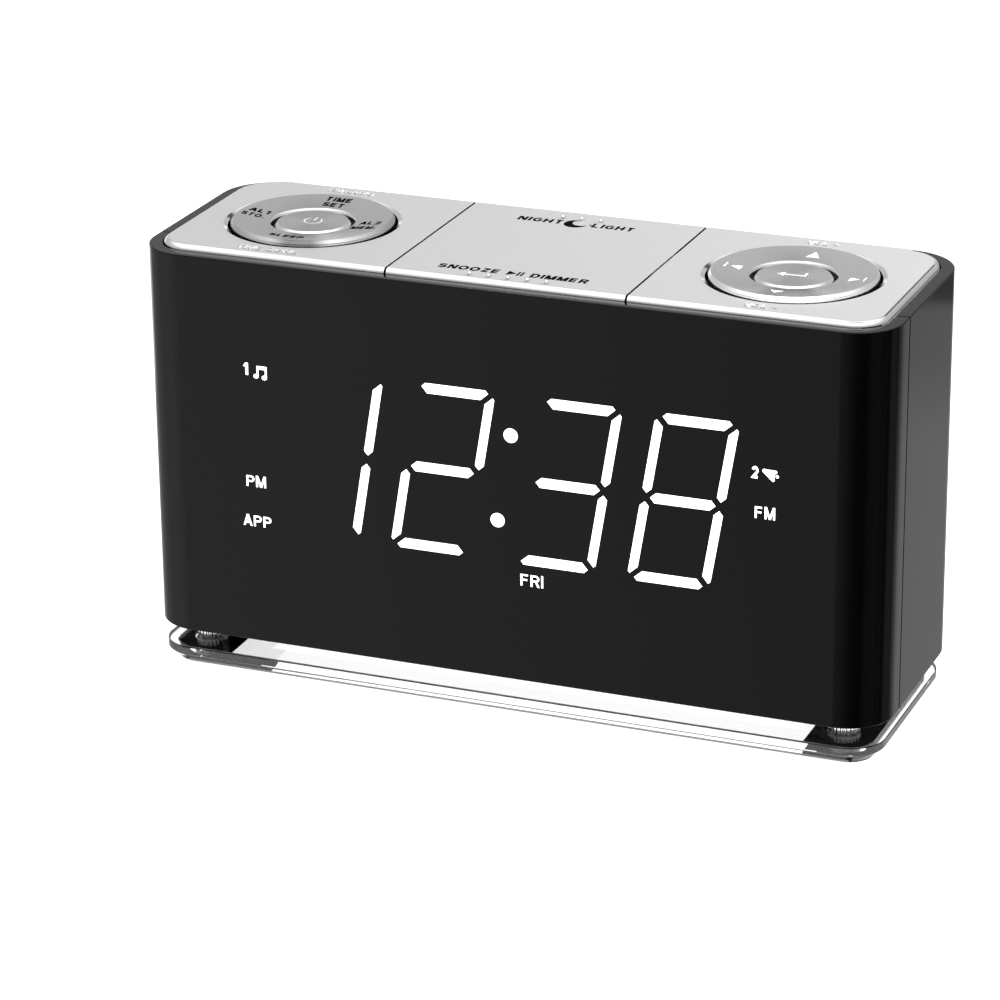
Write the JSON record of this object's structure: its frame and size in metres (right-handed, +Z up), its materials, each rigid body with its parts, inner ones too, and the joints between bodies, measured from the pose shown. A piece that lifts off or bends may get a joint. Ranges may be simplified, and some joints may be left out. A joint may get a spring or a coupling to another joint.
{
  "type": "clock radio",
  "caption": "Bedside clock radio: a gloss black cabinet on chrome posts and a clear base, with slanted lit figures, a silver top deck, a rocking snooze bar and tilting control dials.",
  "frame": {"origin": "on the table under the middle of the cabinet, at the middle of the bounding box's bottom", "axes": "+X to the right seen from the front, along the cabinet's length; -Y is the display side; +Z is up"},
  "size_m": [0.2, 0.068, 0.1166],
  "materials": {
    "gloss_black": "polished black moulding",
    "silver_paint": "fine-grained silver paint",
    "spun_metal": "spun with fine concentric lines",
    "natural_plastic": "plain moulded",
    "circuit_board": "green solder mask",
    "matt_black": "fine-textured black moulding",
    "lit_white": "white light-guide plastic",
    "clear_acrylic": "polished clear acrylic",
    "chrome_plate": "mirror chrome",
    "screw_steel": "zinc-plated steel",
    "pad_rubber": "soft black rubber",
    "speaker_paper": "treated paper cone",
    "magnet_iron": "ferrite and steel",
    "white_plastic": "translucent white moulding"
  },
  "bodies": {
    "cabinet": {"aerial_gland": "pad_rubber", "base_plate": "clear_acrylic", "battery_cup": "matt_black", "case_screw_lower_left": "screw_steel", "case_screw_lower_right": "screw_steel", "case_screw_upper_left": "screw_steel", "case_screw_upper_right": "screw_steel", "coin_cell": "screw_steel", "digit_hour_tens": "lit_white", "digit_hour_units": "lit_white", "digit_minute_tens": "lit_white", "digit_minute_units": "lit_white", "display_board": "circuit_board", "display_frame": "matt_black", "foot_pad_left": "pad_rubber", "foot_pad_right": "pad_rubber", "front_shell": "gloss_black", "key_board": "circuit_board", "left_dial_switch_back": "matt_black", "left_dial_switch_centre": "matt_black", "left_dial_switch_front": "matt_black", "left_dial_switch_left": "matt_black", "left_dial_switch_right": "matt_black", "main_board": "circuit_board", "night_light_board": "white_plastic", "night_light_diffuser": "white_plastic", "night_light_switch": "matt_black", "post_back_left": "chrome_plate", "post_back_right": "chrome_plate", "post_front_left": "chrome_plate", "post_front_right": "chrome_plate", "post_screw_back_left": "screw_steel", "post_screw_back_right": "screw_steel", "post_screw_front_left": "screw_steel", "post_screw_front_right": "screw_steel", "power_socket": "matt_black", "rear_shell": "gloss_black", "ribbon_cable": "natural_plastic", "right_dial_switch_back": "matt_black", "right_dial_switch_centre": "matt_black", "right_dial_switch_front": "matt_black", "right_dial_switch_left": "matt_black", "right_dial_switch_right": "matt_black", "snooze_switch": "matt_black", "socket_board": "circuit_board", "speaker_basket": "screw_steel", "speaker_magnet": "magnet_iron", "top_chassis": "natural_plastic", "top_plate_left": "silver_paint", "top_plate_right": "silver_paint", "usb_socket": "screw_steel"},
    "snooze_bar": {"snooze_bar": "silver_paint"},
    "left_gimbal": {"left_dial_gimbal": "natural_plastic"},
    "right_gimbal": {"right_dial_gimbal": "natural_plastic"},
    "left_ring": {"left_dial_ring": "spun_metal"},
    "right_ring": {"right_dial_ring": "spun_metal"},
    "left_centre": {"left_dial_centre": "spun_metal"},
    "right_centre": {"right_dial_centre": "spun_metal"},
    "battery_cover": {"battery_cover": "matt_black"},
    "speaker_cone": {"speaker_cone": "speaker_paper"}
  },
  "joints": [
    {"name": "snooze_rock", "type": "hinge", "parent": "cabinet", "child": "snooze_bar", "pos_m": [0, -0.002, 0.1118], "axis": [1, 0, 0], "range_deg": [-1.5, 1.5], "stiffness_Nm_per_rad": 0.8},
    {"name": "left_dial_tilt_x", "type": "hinge", "parent": "cabinet", "child": "left_gimbal", "pos_m": [-0.065, 0, 0.1099], "axis": [1, 0, 0], "range_deg": [-1.8, 1.8], "stiffness_Nm_per_rad": 0.3},
    {"name": "left_dial_tilt_y", "type": "hinge", "parent": "left_gimbal", "child": "left_ring", "pos_m": [-0.065, 0, 0.1105], "axis": [0, 1, 0], "range_deg": [-1.8, 1.8], "stiffness_Nm_per_rad": 0.3},
    {"name": "left_centre_press", "type": "slide", "parent": "cabinet", "child": "left_centre", "axis": [0, 0, -1], "range_m": [0, 0.0008], "stiffness_N_per_m": 400, "springref_m": -0.0002},
    {"name": "right_dial_tilt_x", "type": "hinge", "parent": "cabinet", "child": "right_gimbal", "pos_m": [0.065, 0, 0.1099], "axis": [1, 0, 0], "range_deg": [-1.8, 1.8], "stiffness_Nm_per_rad": 0.3},
    {"name": "right_dial_tilt_y", "type": "hinge", "parent": "right_gimbal", "child": "right_ring", "pos_m": [0.065, 0, 0.1105], "axis": [0, 1, 0], "range_deg": [-1.8, 1.8], "stiffness_Nm_per_rad": 0.3},
    {"name": "right_centre_press", "type": "slide", "parent": "cabinet", "child": "right_centre", "axis": [0, 0, -1], "range_m": [0, 0.0008], "stiffness_N_per_m": 400, "springref_m": -0.0002},
    {"name": "battery_cover_turn", "type": "hinge", "parent": "cabinet", "child": "battery_cover", "pos_m": [0.062, 0.032, 0.068], "axis": [0, 1, 0], "range_deg": [0, 40]},
    {"name": "speaker_cone_move", "type": "slide", "parent": "cabinet", "child": "speaker_cone", "axis": [0, 1, 0], "range_m": [-0.0005, 0.0005], "stiffness_N_per_m": 1500}
  ]
}
